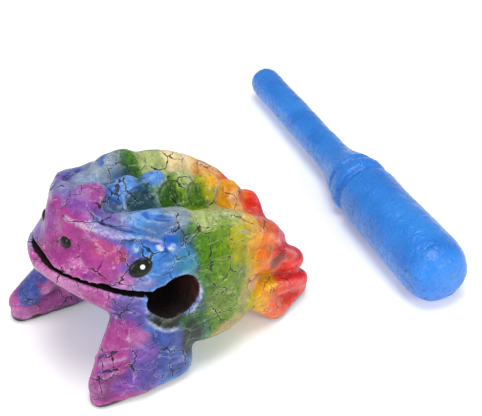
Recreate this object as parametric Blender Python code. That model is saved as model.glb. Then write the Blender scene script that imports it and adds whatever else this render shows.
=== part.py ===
# Frog guiro: a carved wooden frog with a toothed spine, and the turned stick that is drawn over it.
# Metres, +Z up. The frog faces -Y and stands on its four soles, and the stick lies behind it.

import math

import bmesh
import bpy
from mathutils import Matrix, Vector

# Frog, overall
body_length = 0.104
body_half_width = 0.034
back_height = 0.0722
snout_forward = 0.056
snout_lean = 0.30
lip_step = 0.0052

# Mouth and side hole
mouth_height = 0.0545
mouth_slope = 0.345
mouth_slot = 0.0028
hole_radius = 0.0096
hole_back = 0.0185
hole_height = 0.0428

# Head details
crease_radius = 0.0018
eye_bulge_radius = 0.0058
nostril_radius = 0.0016

# Spine
tooth_count = 7
tooth_height = 0.0075
tooth_notch = 0.0040
tooth_half_width = 0.0088
first_tooth_forward = 0.0375
first_pitch = 0.0126
pitch_loss = 0.00055
valley_depth = 0.0036
valley_offset = 0.0105
valley_half_width = 0.0042
fold_radius = 0.0068

# Legs
shoulder_radius = 0.0112
ankle_radius = 0.0078
front_toe_radius = 0.0048
thigh_radius = 0.0088
knee_radius = 0.0052
shin_radius = 0.0062
hind_toe_radius = 0.0046
sole_groove_width = 0.0020
sole_groove_depth = 0.0016

# Stick
stick_length = 0.180
head_share = 0.90
collar_share = 0.60
neck_length = 0.0150
head_radius = 0.0142
handle_radius = 0.0078
neck_radius = 0.0128
collar_groove = 0.0009
stick_turn = math.radians(171)
stick_head_x = 0.0575
stick_head_y = 0.0900
stick_steps = 36

# Fineness of the carving
skin_voxel = 0.0009
skin_passes = 14
skin_keep = 0.095

# Torso sections from snout to rump: place along the body, half width, underside, top, widest level.
# Places are shares of body_length, widths of body_half_width, levels of back_height.
torso_sections = (
    (0.000, 0.06, 0.66, 0.80, 0.73),
    (0.012, 0.22, 0.65, 0.88, 0.73),
    (0.032, 0.36, 0.63, 0.95, 0.73),
    (0.060, 0.47, 0.60, 0.99, 0.72),
    (0.100, 0.59, 0.54, 1.01, 0.70),
    (0.154, 0.72, 0.46, 1.00, 0.68),
    (0.212, 0.82, 0.38, 0.96, 0.64),
    (0.269, 0.90, 0.27, 0.94, 0.60),
    (0.346, 0.97, 0.15, 0.92, 0.53),
    (0.442, 1.01, 0.11, 0.90, 0.46),
    (0.538, 1.02, 0.10, 0.86, 0.42),
    (0.635, 0.96, 0.10, 0.80, 0.40),
    (0.712, 0.82, 0.10, 0.74, 0.38),
    (0.788, 0.64, 0.12, 0.66, 0.37),
    (0.865, 0.44, 0.14, 0.56, 0.33),
    (0.923, 0.28, 0.17, 0.45, 0.30),
    (0.971, 0.17, 0.19, 0.30, 0.26),
    (1.000, 0.09, 0.21, 0.25, 0.23),
)


def clear_scene():
    for thing in list(bpy.data.objects):
        bpy.data.objects.remove(thing, do_unlink=True)


def paint(name, colour, roughness):
    material = bpy.data.materials.new(name)
    material.use_nodes = True
    shader = material.node_tree.nodes["Principled BSDF"]
    shader.inputs["Base Color"].default_value = (*colour, 1)
    shader.inputs["Roughness"].default_value = roughness
    shader.inputs["Metallic"].default_value = 0
    return material


def place(share_x, share_y, share_z):
    """A point given as shares of the half width, the length from the snout and the back height."""
    return Vector((share_x * body_half_width, share_y * body_length - snout_forward, share_z * back_height))


def torso_at(share):
    """Half width, underside, top and widest level at a place along the body, eased between sections."""
    row = 0
    while row < len(torso_sections) - 2 and torso_sections[row + 1][0] < share:
        row += 1
    start, end = torso_sections[row], torso_sections[row + 1]
    before = torso_sections[max(row - 1, 0)]
    after = torso_sections[min(row + 2, len(torso_sections) - 1)]
    gap = end[0] - start[0]
    t = min(max((share - start[0]) / gap, 0), 1)
    values = []
    for column in range(1, 5):
        leave = (end[column] - before[column]) / (end[0] - before[0]) * gap
        arrive = (after[column] - start[column]) / (after[0] - start[0]) * gap
        values.append(
            (2 * t**3 - 3 * t**2 + 1) * start[column]
            + (t**3 - 2 * t**2 + t) * leave
            + (3 * t**2 - 2 * t**3) * end[column]
            + (t**3 - t**2) * arrive
        )
    return values[0] * body_half_width, *(level * back_height for level in values[1:])


def mouth_level(y):
    """Height of the mouth line, which rises towards the snout."""
    return mouth_height - (y + snout_forward) * mouth_slope


def torso_ring(share, points=44):
    """One closed section of the torso, with a valley on each side of the spine and a snout that leans back."""
    half_width, underside, top, widest = torso_at(share)
    y = share * body_length - snout_forward
    belly_fade = max(1 - abs(share - 0.54) / 0.3, 0)
    snout_fade = max(1 - share / 0.3, 0)
    head_fade = max(1 - share / 0.6, 0)
    ring = []
    valley_fade = min(max((share - 0.16) / 0.12, 0), 1) * min(max((0.92 - share) / 0.2, 0), 1)
    lean_fade = max(1 - share / 0.24, 0)
    for index in range(points):
        angle = 2 * math.pi * index / points
        boxiness = 3.2 + (0.9 * head_fade if angle < math.pi else 1.3 * belly_fade)
        across = math.copysign(abs(math.cos(angle)) ** (2 / boxiness), math.cos(angle))
        along = math.copysign(abs(math.sin(angle)) ** (2 / boxiness), math.sin(angle))
        x = half_width * across
        z = widest + along * (top - widest if along > 0 else widest - underside)
        if along > 0.6:
            z -= valley_depth * valley_fade * math.exp(-(((abs(x) - valley_offset) / valley_half_width) ** 2))
        above = z - mouth_level(y)
        lean = 0
        if above > 0:
            lean = (above * snout_lean + lip_step) * lean_fade
            x *= 1 - (0.10 + 0.26 * max(along, 0)) * snout_fade
        ring.append(Vector((x, y + lean, z)))
    return ring


def loft(mesh, rings):
    """Skin a row of rings into one closed body."""
    rows = [[mesh.verts.new(point) for point in ring] for ring in rings]
    count = len(rows[0])
    for near, far in zip(rows[:-1], rows[1:]):
        for index in range(count):
            after = (index + 1) % count
            mesh.faces.new((near[index], near[after], far[after], far[index]))
    mesh.faces.new(rows[0])
    mesh.faces.new(reversed(rows[-1]))


def round_hull(mesh, centres, radii):
    """The hull of a ball at each centre: a rounded bar between two, a rounded block between many."""
    hull = bmesh.new()
    for centre, radius in zip(centres, radii):
        bmesh.ops.create_icosphere(hull, subdivisions=2, radius=radius, matrix=Matrix.Translation(centre))
    inside = bmesh.ops.convex_hull(hull, input=hull.verts[:])["geom_interior"]
    spare = [item for item in inside if isinstance(item, bmesh.types.BMVert)]
    bmesh.ops.delete(hull, geom=spare, context="VERTS")
    data = bpy.data.meshes.new("round")
    hull.to_mesh(data)
    hull.free()
    mesh.from_mesh(data)
    bpy.data.meshes.remove(data)


def round_chain(mesh, points, radii):
    for start, end, start_radius, end_radius in zip(points[:-1], points[1:], radii[:-1], radii[1:]):
        round_hull(mesh, (start, end), (start_radius, end_radius))


def both_sides(mesh, points, radii):
    for side in (1, -1):
        round_chain(mesh, [Vector((side * point.x, point.y, point.z)) for point in points], radii)


def add_head(mesh):
    """The flat-topped block above the mouth, with a crease from the snout over each eye to the shoulder."""
    crease = [
        place(0.20, 0.126, 0.955),
        place(0.37, 0.158, 0.950),
        place(0.57, 0.208, 0.938),
        place(0.65, 0.275, 0.905),
        place(0.76, 0.345, 0.872),
        place(0.86, 0.395, 0.835),
    ]
    lip = [
        place(0.00, 0.064, 0.790),
        place(0.27, 0.100, 0.772),
        place(0.51, 0.156, 0.745),
        place(0.70, 0.224, 0.718),
        place(0.85, 0.310, 0.700),
    ]
    row = crease + lip
    mirrored = [Vector((-point.x, point.y, point.z)) for point in row]
    round_hull(mesh, row + mirrored, [crease_radius] * (2 * len(row)))
    eye = place(0.745, 0.283, 0.750)
    back = Vector((0, eye_bulge_radius * 0.7, 0))
    both_sides(mesh, [eye, eye + back], [eye_bulge_radius] * 2)


def add_folds(mesh):
    """The raised fold on each side of the back, from a dome behind the eye down to the rump."""
    fold = [
        place(0.44, 0.320, 0.880),
        place(0.57, 0.390, 0.872),
        place(0.61, 0.450, 0.860),
        place(0.63, 0.500, 0.820),
        place(0.64, 0.560, 0.790),
        place(0.65, 0.620, 0.750),
        place(0.65, 0.690, 0.692),
        place(0.60, 0.795, 0.582),
        place(0.46, 0.880, 0.455),
    ]
    sizes = (0.75, 1.0, 1.0, 0.88, 0.98, 1.0, 1.0, 0.92, 0.65)
    both_sides(mesh, fold, [fold_radius * size for size in sizes])


def front_toe(side):
    """The right foot reaches further out than the left one."""
    return place(0.80, 0.085, 0) if side > 0 else place(-0.87, 0.010, 0)


def front_heel(side):
    return place(side * 0.82, 0.368, 0)


def add_front_legs(mesh):
    for side in (1, -1):
        toe = front_toe(side) + Vector((0, 0, front_toe_radius * 0.6))
        heel = front_heel(side) + Vector((0, 0, ankle_radius * 0.9))
        instep = (toe * 0.45 + heel * 0.55) + Vector((0, 0, ankle_radius * 0.25))
        shoulder = place(side * 0.70, 0.345, 0.40)
        elbow = place(side * 0.76, 0.350, 0.20)
        breast = place(side * 0.66, 0.255, 0.43)
        round_chain(mesh, [shoulder, elbow, heel], [shoulder_radius, shoulder_radius * 0.9, ankle_radius])
        round_chain(mesh, [heel, instep, toe], [ankle_radius, ankle_radius * 1.05, front_toe_radius])
        round_chain(mesh, [breast, instep, toe], [ankle_radius, ankle_radius * 1.1, front_toe_radius])
        round_chain(mesh, [breast, toe + Vector((0, 0, ankle_radius * 0.7))], [ankle_radius, front_toe_radius])


def add_hind_legs(mesh):
    hip = place(0.60, 0.730, 0.500)
    knee = place(0.50, 0.950, 0.280)
    both_sides(mesh, [hip, knee], [thigh_radius, knee_radius])
    shin_top = place(0.74, 0.715, 0.270)
    shin_end = place(0.54, 0.975, 0.130)
    both_sides(mesh, [shin_top, shin_end], [shin_radius, shin_radius * 0.75])
    toe = place(0.69, 0.830, 0) + Vector((0, 0, hind_toe_radius * 0.8))
    heel = place(0.47, 0.995, 0) + Vector((0, 0, hind_toe_radius * 0.65))
    both_sides(mesh, [toe, heel], [hind_toe_radius, hind_toe_radius * 0.85])
    both_sides(mesh, [shin_top, toe], [shin_radius, hind_toe_radius])


def back_level(y):
    return torso_at((y + snout_forward) / body_length)[2]


def spine_section(y, rise, half_width, top_share):
    """A section of the ridge whose foot is buried in the back, with its shoulders at a share of its width."""
    top = back_level(y) + rise
    foot = back_level(y) - tooth_height
    shoulder = top - rise * 0.55
    outline = (
        (-half_width, foot),
        (half_width, foot),
        (half_width * top_share, shoulder),
        (half_width * 0.08, top),
        (-half_width * 0.08, top),
        (-half_width * top_share, shoulder),
    )
    return [Vector((x, y, z)) for x, z in outline]


def add_spine(mesh):
    """The toothed ridge along the middle of the back. Each tooth rises slowly and drops off steeply behind."""
    y = -first_tooth_forward
    rings = [spine_section(y - first_pitch * 0.1, tooth_notch * 0.2, tooth_half_width * 0.6, 0.4)]
    for index in range(tooth_count):
        pitch = first_pitch - index * pitch_loss
        width = tooth_half_width * (1 - 0.3 * index / (tooth_count - 1))
        rings.append(spine_section(y, tooth_notch, width * 0.95, 0.42))
        rings.append(spine_section(y + pitch * 0.36, tooth_height * 0.86, width, 0.78))
        rings.append(spine_section(y + pitch * 0.66, tooth_height, width, 0.66))
        rings.append(spine_section(y + pitch * 0.84, tooth_height * 0.85, width, 0.52))
        y += pitch
    rings.append(spine_section(y, 0, tooth_half_width * 0.5, 0.3))
    loft(mesh, rings)


def guide(name, mesh):
    """A helper body that only cuts or joins another."""
    bmesh.ops.recalc_face_normals(mesh, faces=mesh.faces)
    data = bpy.data.meshes.new(name)
    mesh.to_mesh(data)
    mesh.free()
    thing = bpy.data.objects.new(name, data)
    thing.hide_render = True
    thing.hide_viewport = True
    thing.display_type = "WIRE"
    bpy.context.collection.objects.link(thing)
    thing.parent = bpy.data.objects["guiro_set"]
    return thing


def box_guide(name, centre, size, turn=None):
    mesh = bmesh.new()
    bmesh.ops.create_cube(mesh, size=1)
    bmesh.ops.scale(mesh, vec=size, verts=mesh.verts)
    if turn:
        bmesh.ops.transform(mesh, matrix=turn, verts=mesh.verts)
    bmesh.ops.translate(mesh, vec=centre, verts=mesh.verts)
    return guide(name, mesh)


def make_hole():
    mesh = bmesh.new()
    bmesh.ops.create_cone(
        mesh,
        cap_ends=True,
        segments=40,
        radius1=hole_radius,
        radius2=hole_radius,
        depth=body_half_width * 3,
        matrix=Matrix.Rotation(math.pi / 2, 4, "Y"),
    )
    bmesh.ops.translate(mesh, vec=(0, -hole_back, hole_height), verts=mesh.verts)
    return guide("hole_guide", mesh)


def make_mouth():
    """A flat slot across the whole head, from the snout into the side hole."""
    front = -snout_forward * 1.2
    back = -hole_back
    middle = (front + back) / 2
    size = (body_half_width * 3, back - front, mouth_slot)
    turn = Matrix.Rotation(-math.atan(mouth_slope), 4, "X")
    return box_guide("mouth_guide", (0, middle, mouth_level(middle)), size, turn)


def make_nostrils():
    mesh = bmesh.new()
    for side in (1, -1):
        spot = place(side * 0.30, 0.092, 0.870)
        bmesh.ops.create_icosphere(mesh, subdivisions=2, radius=nostril_radius, matrix=Matrix.Translation(spot))
    return guide("nostril_guide", mesh)


def make_floor():
    size = (body_half_width * 4, body_length * 2, back_height)
    return box_guide("floor_guide", (0, 0, -back_height / 2), size)


def make_sole_grooves():
    """Cross grooves that leave three ribs under each front sole and two under each hind one."""
    mesh = bmesh.new()
    length = body_half_width
    for side in (1, -1):
        toe = front_toe(side)
        heel = front_heel(side)
        spots = [toe.lerp(heel, share) for share in (0.30, 0.62)]
        spots.append(place(side * 0.58, 0.915, 0))
        for spot in spots:
            cube = bmesh.ops.create_cube(mesh, size=1)["verts"]
            bmesh.ops.scale(mesh, vec=(length, sole_groove_width, sole_groove_depth * 2), verts=cube)
            bmesh.ops.translate(mesh, vec=spot, verts=cube)
    return guide("sole_guide", mesh)


def cut(thing, helper):
    step = thing.modifiers.new(helper.name, "BOOLEAN")
    step.operation = "DIFFERENCE"
    step.solver = "EXACT"
    step.object = helper


def make_frog():
    mesh = bmesh.new()
    stations = 40
    loft(mesh, [torso_ring((1 - math.cos(math.pi * index / stations)) / 2) for index in range(stations + 1)])
    add_head(mesh)
    add_folds(mesh)
    add_front_legs(mesh)
    add_hind_legs(mesh)
    add_spine(mesh)
    bmesh.ops.recalc_face_normals(mesh, faces=mesh.faces)
    data = bpy.data.meshes.new("frog_body")
    mesh.to_mesh(data)
    mesh.free()
    frog = bpy.data.objects.new("frog_body", data)
    bpy.context.collection.objects.link(frog)
    frog.parent = bpy.data.objects["guiro_set"]
    frog.data.materials.append(paint("crackled paint on wood", (0.22, 0.32, 0.12), 0.3))

    skin = frog.modifiers.new("skin", "REMESH")
    skin.mode = "VOXEL"
    skin.voxel_size = skin_voxel
    skin.use_smooth_shade = True
    soften = frog.modifiers.new("soften", "SMOOTH")
    soften.factor = 0.5
    soften.iterations = skin_passes
    thin = frog.modifiers.new("thin", "DECIMATE")
    thin.ratio = skin_keep

    cut(frog, make_hole())
    cut(frog, make_mouth())
    cut(frog, make_nostrils())
    cut(frog, make_floor())
    cut(frog, make_sole_grooves())
    return frog


def stick_profile():
    """Radius and height pairs from the top of the head down to the tip of the handle."""
    shoulder = stick_length * head_share
    collar = stick_length * collar_share
    crown = stick_length - shoulder
    quarter = [math.pi / 2 * index / 7 for index in range(8)]
    points = [(head_radius * math.sin(angle), shoulder + crown * math.cos(angle)) for angle in quarter]

    def side(height):
        return head_radius - (head_radius - neck_radius) * (shoulder - height) / (shoulder - collar)

    bead = stick_length * 0.014
    for rise, sink in ((1.9, 0), (1.5, 1), (1.1, 0.2), (0.4, 0), (0, 0), (-0.3, 1), (-0.7, 0.8), (-1.2, 1.6)):
        height = collar + bead * rise
        points.append((side(height) - collar_groove * sink, height))
    neck, neck_height = points[-1]
    for share in (0.35, 0.7, 1.0):
        ease = share * share * (3 - 2 * share)
        points.append((neck + (handle_radius - neck) * ease, neck_height - neck_length * share))
    tip = handle_radius * 0.97
    points.append((tip, tip * 0.8))
    for angle in reversed(quarter[1:-1:2]):
        points.append((tip * math.sin(angle), tip * 0.8 * (1 - math.cos(angle))))
    points.append((0, 0))
    return points


def make_stick():
    """The head and the handle are turned about one axis, and the stick lies on the side of its head."""
    mesh = bmesh.new()
    row = [mesh.verts.new((radius, 0, height)) for radius, height in stick_profile()]
    for upper, lower in zip(row[:-1], row[1:]):
        mesh.edges.new((upper, lower))
    data = bpy.data.meshes.new("striker_stick")
    mesh.to_mesh(data)
    mesh.free()
    stick = bpy.data.objects.new("striker_stick", data)
    bpy.context.collection.objects.link(stick)
    stick.parent = bpy.data.objects["guiro_set"]
    stick.data.materials.append(paint("blue brushed paint", (0.05, 0.22, 0.75), 0.35))
    turn = stick.modifiers.new("turn", "SCREW")
    turn.axis = "Z"
    turn.steps = stick_steps
    turn.render_steps = stick_steps
    turn.use_merge_vertices = True
    turn.merge_threshold = 0.00005
    turn.use_smooth_shade = True

    shoulder = stick_length * head_share
    tilt = math.atan((head_radius - neck_radius) / (shoulder - stick_length * collar_share))
    lie = Matrix.Rotation(math.pi / 2 - tilt, 4, "Y")
    roll = Matrix.Rotation(stick_turn + math.pi, 4, "Z")
    axis = roll @ lie @ Vector((0, 0, 1))
    start = Vector((stick_head_x, stick_head_y, 0)) - axis * stick_length
    start.z = head_radius * math.cos(tilt) - axis.z * shoulder
    stick.matrix_local = Matrix.Translation(start) @ roll @ lie
    return stick


def centre_on_floor(group, pieces):
    """Move the set so that the middle of its outline on the floor is at the origin."""
    bpy.context.view_layer.update()
    scene_state = bpy.context.evaluated_depsgraph_get()
    corners = []
    for piece in pieces:
        shape = piece.evaluated_get(scene_state)
        mesh = shape.to_mesh()
        corners += [shape.matrix_world @ vertex.co for vertex in mesh.vertices]
        shape.to_mesh_clear()
    middle = [(min(p[axis] for p in corners) + max(p[axis] for p in corners)) / 2 for axis in range(2)]
    group.location = (-middle[0], -middle[1], -min(p.z for p in corners))
    bpy.context.view_layer.update()


clear_scene()
group = bpy.data.objects.new("guiro_set", None)
bpy.context.collection.objects.link(group)
frog = make_frog()
stick = make_stick()
centre_on_floor(group, [frog, stick])
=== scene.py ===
import bmesh
import bpy
import numpy as np
from mathutils import Matrix, Vector, noise


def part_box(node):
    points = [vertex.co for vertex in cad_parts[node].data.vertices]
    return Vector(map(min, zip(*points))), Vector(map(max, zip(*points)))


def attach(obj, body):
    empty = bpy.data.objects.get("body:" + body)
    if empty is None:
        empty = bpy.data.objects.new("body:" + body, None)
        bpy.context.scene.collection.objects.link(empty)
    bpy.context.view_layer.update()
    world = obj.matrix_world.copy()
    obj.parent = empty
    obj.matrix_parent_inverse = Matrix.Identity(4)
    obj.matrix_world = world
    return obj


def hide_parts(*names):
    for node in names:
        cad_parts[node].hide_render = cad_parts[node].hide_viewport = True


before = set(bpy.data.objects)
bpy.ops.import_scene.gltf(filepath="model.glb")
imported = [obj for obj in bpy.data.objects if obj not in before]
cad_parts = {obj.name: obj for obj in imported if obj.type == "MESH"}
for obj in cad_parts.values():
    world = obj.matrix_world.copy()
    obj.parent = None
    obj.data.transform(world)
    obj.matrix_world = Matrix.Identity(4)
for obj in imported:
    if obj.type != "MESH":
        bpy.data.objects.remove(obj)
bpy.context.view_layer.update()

# The frog's own origin lies on the floor under its middle. Its places below are in millimetres from
# there, with the snout towards -Y and the near side towards +X.
frogOrigin = Vector((0.03139, -0.03263, 0))


def fromFrog(x, y, z):
    return frogOrigin + Vector((x, y, z)) / 1000


# A colour as Blender wants it, from the way it looks on a screen.
def linear(hexCode):
    parts = [int(hexCode[i:i + 2], 16) / 255 for i in (0, 2, 4)]
    return [p / 12.92 if p <= 0.04045 else ((p + 0.055) / 1.055) ** 2.4 for p in parts]


def addObject(name, data):
    thing = bpy.data.objects.new(name, data)
    bpy.context.scene.collection.objects.link(thing)
    return thing


def meshFrom(name, mesh):
    data = bpy.data.meshes.new(name)
    mesh.to_mesh(data)
    mesh.free()
    return data


# 0 to 1 with a soft start and a soft end.
def eased(share):
    return share * share * (3 - 2 * share)


# Camera and light

cameraSettings = {
    "place": fromFrog(258.2, -131.8, 277.5),
    "back": (0.668, -0.418, 0.616),
    "lens": 73.8,
    "sensor": 36,
    "clipStart": 0.02,
}


def makeCamera():
    back = Vector(cameraSettings["back"]).normalized()
    data = bpy.data.cameras.new("camera")
    data.lens = cameraSettings["lens"]
    data.sensor_width = cameraSettings["sensor"]
    data.clip_start = cameraSettings["clipStart"]
    camera = addObject("camera", data)
    turn = back.to_track_quat("Z", "Y").to_matrix().to_4x4()
    camera.matrix_world = Matrix.Translation(cameraSettings["place"]) @ turn
    bpy.context.scene.camera = camera
    bpy.context.scene.view_settings.view_transform = "Standard"


lamps = [
    {"name": "overhead", "place": (0.10, -0.05, 0.75), "size": 0.40, "power": 3.0},
    {"name": "snout_side", "place": (0.25, -0.75, 0.42), "size": 0.35, "power": 2.0},
    {"name": "near_side", "place": (0.75, 0.15, 0.40), "size": 0.30, "power": 2.0},
]

lampTarget = (0, 0, 0.03)


def makeLamps():
    for lamp in lamps:
        data = bpy.data.lights.new(lamp["name"], "AREA")
        data.shape = "DISK"
        data.size = lamp["size"]
        data.energy = lamp["power"]
        thing = addObject(lamp["name"], data)
        thing.location = lamp["place"]
        away = Vector(lamp["place"]) - Vector(lampTarget)
        thing.rotation_euler = away.to_track_quat("Z", "Y").to_euler()


studio = {
    "softLight": 0.42,
    "seenWhite": 1.0,
    "floorGlow": 0.18,
    "floorRadius": 0.62,
    "floorSides": 96,
    "floorRoughness": 0.9,
}


# The background is white where the camera sees it and softer as light.
def makeWorld():
    world = bpy.data.worlds.new("studio")
    bpy.context.scene.world = world
    world.use_nodes = True
    tree = world.node_tree
    tree.nodes.clear()
    ends = tree.nodes.new("ShaderNodeOutputWorld")
    rays = tree.nodes.new("ShaderNodeLightPath")
    choose = tree.nodes.new("ShaderNodeMixShader")
    tree.links.new(rays.outputs["Is Camera Ray"], choose.inputs[0])
    for index, strength in ((1, studio["softLight"]), (2, studio["seenWhite"])):
        white = tree.nodes.new("ShaderNodeBackground")
        white.inputs["Color"].default_value = (1, 1, 1, 1)
        white.inputs["Strength"].default_value = strength
        tree.links.new(white.outputs[0], choose.inputs[index])
    tree.links.new(choose.outputs[0], ends.inputs["Surface"])


def makeFloor():
    mesh = bmesh.new()
    sides = studio["floorSides"]
    bmesh.ops.create_circle(mesh, cap_ends=True, segments=sides, radius=studio["floorRadius"])
    floor = addObject("floor", meshFrom("floor", mesh))
    material = bpy.data.materials.new("floor")
    material.use_nodes = True
    shader = material.node_tree.nodes["Principled BSDF"]
    shader.inputs["Base Color"].default_value = (1, 1, 1, 1)
    shader.inputs["Roughness"].default_value = studio["floorRoughness"]
    shader.inputs["Specular IOR Level"].default_value = 0
    shader.inputs["Emission Color"].default_value = (1, 1, 1, 1)
    shader.inputs["Emission Strength"].default_value = studio["floorGlow"]
    floor.data.materials.append(material)


# Fine mesh work


# What the modifiers give becomes the piece's own mesh.
def finished(thing):
    bpy.context.view_layer.update()
    state = bpy.context.evaluated_depsgraph_get()
    data = bpy.data.meshes.new_from_object(thing.evaluated_get(state))
    thing.modifiers.clear()
    thing.data = data


# A fine, softened copy of a solid of the frame.
def fineCopy(name, node, shape):
    mesh = bmesh.new()
    mesh.from_mesh(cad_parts[node].data)
    bmesh.ops.remove_doubles(mesh, verts=mesh.verts, dist=shape["seam"])
    thing = addObject(name, meshFrom(name, mesh))
    skin = thing.modifiers.new("skin", "REMESH")
    skin.mode = "VOXEL"
    skin.voxel_size = shape["voxel"]
    soften = thing.modifiers.new("soften", "SMOOTH")
    soften.factor = shape["softenShare"]
    soften.iterations = shape["softening"]
    finished(thing)
    thing.data.materials.clear()
    return thing


def readPoints(data):
    points = np.empty(len(data.vertices) * 3)
    data.vertices.foreach_get("co", points)
    return points.reshape(-1, 3)


def readNormals(data):
    normals = np.empty(len(data.vertices) * 3)
    data.vertex_normals.foreach_get("vector", normals)
    return normals.reshape(-1, 3)


def writePoints(data, points):
    data.vertices.foreach_set("co", points.ravel())
    data.update()
    data.shade_smooth()


noiseShift = (7.3, 3.1, 5.7)


# Soft noise between -1 and 1 with lumps of about that size in millimetres.
def smoothNoise(points, size, seed):
    shift = Vector([seed * part for part in noiseShift])
    return np.array([noise.noise(Vector(p) / size + shift) for p in points])


# Several noises on top of one another, each with its size, height and seed.
def summedNoise(points, waves):
    return sum(wave["height"] * smoothNoise(points, wave["size"], wave["seed"]) for wave in waves)


# Distance from each point to a bent line, and how far along the line it is nearest, from 0 to 1.
def lineDistance(points, route):
    route = np.array(route, float)
    lengths = np.linalg.norm(np.diff(route, axis=0), axis=1)
    travelled = np.concatenate([[0], np.cumsum(lengths)])
    best = np.full(len(points), np.inf)
    along = np.zeros(len(points))
    for start, end, length, before in zip(route[:-1], route[1:], lengths, travelled):
        way = (end - start) / length
        share = np.clip((points - start) @ way, 0, length)
        gap = np.linalg.norm(points - start - share[:, None] * way, axis=1)
        nearer = gap < best
        best[nearer] = gap[nearer]
        along[nearer] = (before + share[nearer]) / travelled[-1]
    return best, along


# Each line on both sides of the frog.
def bothSides(route):
    return [[(side * x, y, z) for x, y, z in route] for side in (1, -1)]


# Sizes from here on are in millimetres, apart from seam, voxel, rearFade, the stick's two ends and what
# belongs to the looks. Those are in metres.
frogShape = {
    "seam": 0.00001,
    "voxel": 0.00070,
    "softening": 4,
    "softenShare": 0.5,
    "mouthShare": 0.42,
    "lineFade": 0.18,
    "flatBelow": 3,
    "bulgeRounds": 14,
    "lumps": [
        {"size": 9.0, "height": 0.30, "seed": 1},
        {"size": 3.6, "height": 0.14, "seed": 2},
    ],
}

# Lines cut in the skin: width, depth and route. A depth below 0 raises. They fade out at their ends.
carvedLines = [
    (1.0, 0.9, [(11, -37, 70.3), (15.4, -34.0, 69.5), (18.7, -29.7, 68.2), (22.0, -25.3, 66.5)]),
    (0.9, -0.5, [(3, -45.5, 71), (9.9, -42.8, 69.6), (16.4, -38.5, 69.2), (21.5, -33.5, 68),
                 (24.5, -26, 66)]),
    (0.9, 0.6, [(23, -32, 65.5), (24.2, -28, 65.4), (26, -23.6, 64.4), (28.5, -19, 62)]),
    (1.1, 0.8, [(15.5, -20.2, 68.3), (19.4, -18.9, 68.7), (22.1, -15.8, 68.7), (24, -11.8, 67.7)]),
    (0.8, 0.9, [(23.9, -45.6, 18.9), (27.6, -42.9, 22.5), (29.7, -39.2, 23.7)]),
    (0.8, 0.9, [(27.9, -47.8, 15.4), (30.7, -42.2, 17.3), (31.6, -38, 17.4), (32.4, -34.1, 17.5)]),
    (0.8, -0.3, [(26.2, -46.8, 17.2), (29.3, -42.6, 19.9), (30.8, -37, 20.5)]),
    (1.6, -0.6, [(26.2, -37.8, 30.6), (31.4, -32.1, 24.5), (33.4, -25.5, 17.5)]),
    (1.4, -0.9, [(26.1, 20.3, 50.6), (26.1, 27.4, 44.2), (22.8, 36.4, 32.0), (21.3, 43.6, 23.6)]),
    (2.6, 1.1, [(26.3, 25.5, 36), (25.6, 31.2, 28.2), (23.0, 37.5, 21)]),
    (1.3, -0.9, [(28.3, 19, 23.9), (26, 31.2, 18.9), (22.5, 45.8, 11.4)]),
    (1.8, 0.7, [(28, 24, 15), (25.5, 32, 12), (22, 42, 7.5)]),
    (0.9, 0.4, [(0, -56.5, 48.5), (11, -53, 47), (20, -45.5, 44.5), (27, -37, 41), (31, -28, 37)]),
    (1.0, -0.5, [(29.9, -28.3, 33.2), (32.7, -25.2, 30.6), (34.3, -22.2, 29.0), (34.6, -17.5, 27.6)]),
    (1.5, -0.9, [(24.6, -29, 62.9), (26.4, -26.6, 62.6)]),
    (1.3, -0.8, [(27.9, -21.1, 62.7), (29.3, -19, 61.3)]),
    (1.2, -0.7, [(29.6, -16.4, 61.6), (29.8, -14.6, 61.2)]),
    (0.8, 0.7, [(8.4, 2.6, 58.1), (8.2, 6.7, 56.4), (7.5, 11.4, 54.5), (7.0, 15.3, 52.7), (9, 20, 50)]),
    (1.0, -0.7, [(13.2, -56, 12), (20.5, -47, 14.5), (24, -40, 20)]),
]

# Flat sides cut on the spine behind each tooth: where the tip stands on the crest and where the foot
# of the triangle begins and ends, along the frog, with its depth and colour.
toothFacets = [
    {"tip": -26.0, "front": -30.8, "rear": -22.4, "from": 3.0, "to": 6.0,
     "depth": 0.8, "colour": "slateBlue"},
    {"tip": -13.4, "front": -21.9, "rear": -10.2, "from": 2.4, "to": 5.8,
     "depth": 1.2, "colour": "teal"},
    {"tip": -0.8, "front": -8.8, "rear": 0.4, "from": 1.0, "to": 6.2,
     "depth": 1.1, "colour": "darkGreen"},
    {"tip": 10.0, "front": 2.8, "rear": 10.2, "from": 1.0, "to": 5.8,
     "depth": 0.9, "colour": "green"},
    {"tip": 21.0, "front": 14.5, "rear": 21.4, "from": 1.0, "to": 5.8,
     "depth": 0.5, "colour": "gold"},
]

# How softly a facet ends, where it ends across and in height, and how far off its edges count elsewhere.
facetEdges = {
    "soft": 0.9,
    "across": 9.4,
    "acrossSoft": 1.0,
    "above": 46,
    "keepOff": 9,
    "clear": 0.3,
    "start": 0.2,
}

# lip is how far the cheek hangs over the rim, lipWay the way back and up that it comes from.
hole = {
    "y": -18.5,
    "z": 42.8,
    "radius": 9.6,
    "lip": 4.6,
    "lipWay": (-0.47, 0.88),
    "lipFocus": 1.6,
    "lipReach": 7,
    "nearest": 0.1,
    "cheek": 22,
    "cheekSoft": 4,
    "darkRim": 0.75,
    "darkSoft": 0.8,
    "rearShare": 0.9,
    "rearFade": 0.003,
}

# The slot slopes down from the snout. lip is the painted width on top of the lower lip.
mouth = {
    "height": 54.5,
    "slope": 0.345,
    "slot": 2.8,
    "front": -56,
    "middle": -30,
    "lip": 1.2,
    "lipSoft": 0.5,
    "lipBand": (-2.8, -1.8),
    "lipSectors": 121,
    "lipTurn": 2.4,
    "lipMean": 5,
    "floorBelow": -0.5,
    "cornerDark": 3,
    "fade": 20,
    "closeReach": 7,
    "darkRim": 0.50,
    "darkSoft": 0.6,
}


def mouthLevel(points):
    return mouth["height"] - (points[:, 1] - mouth["front"]) * mouth["slope"]


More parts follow.
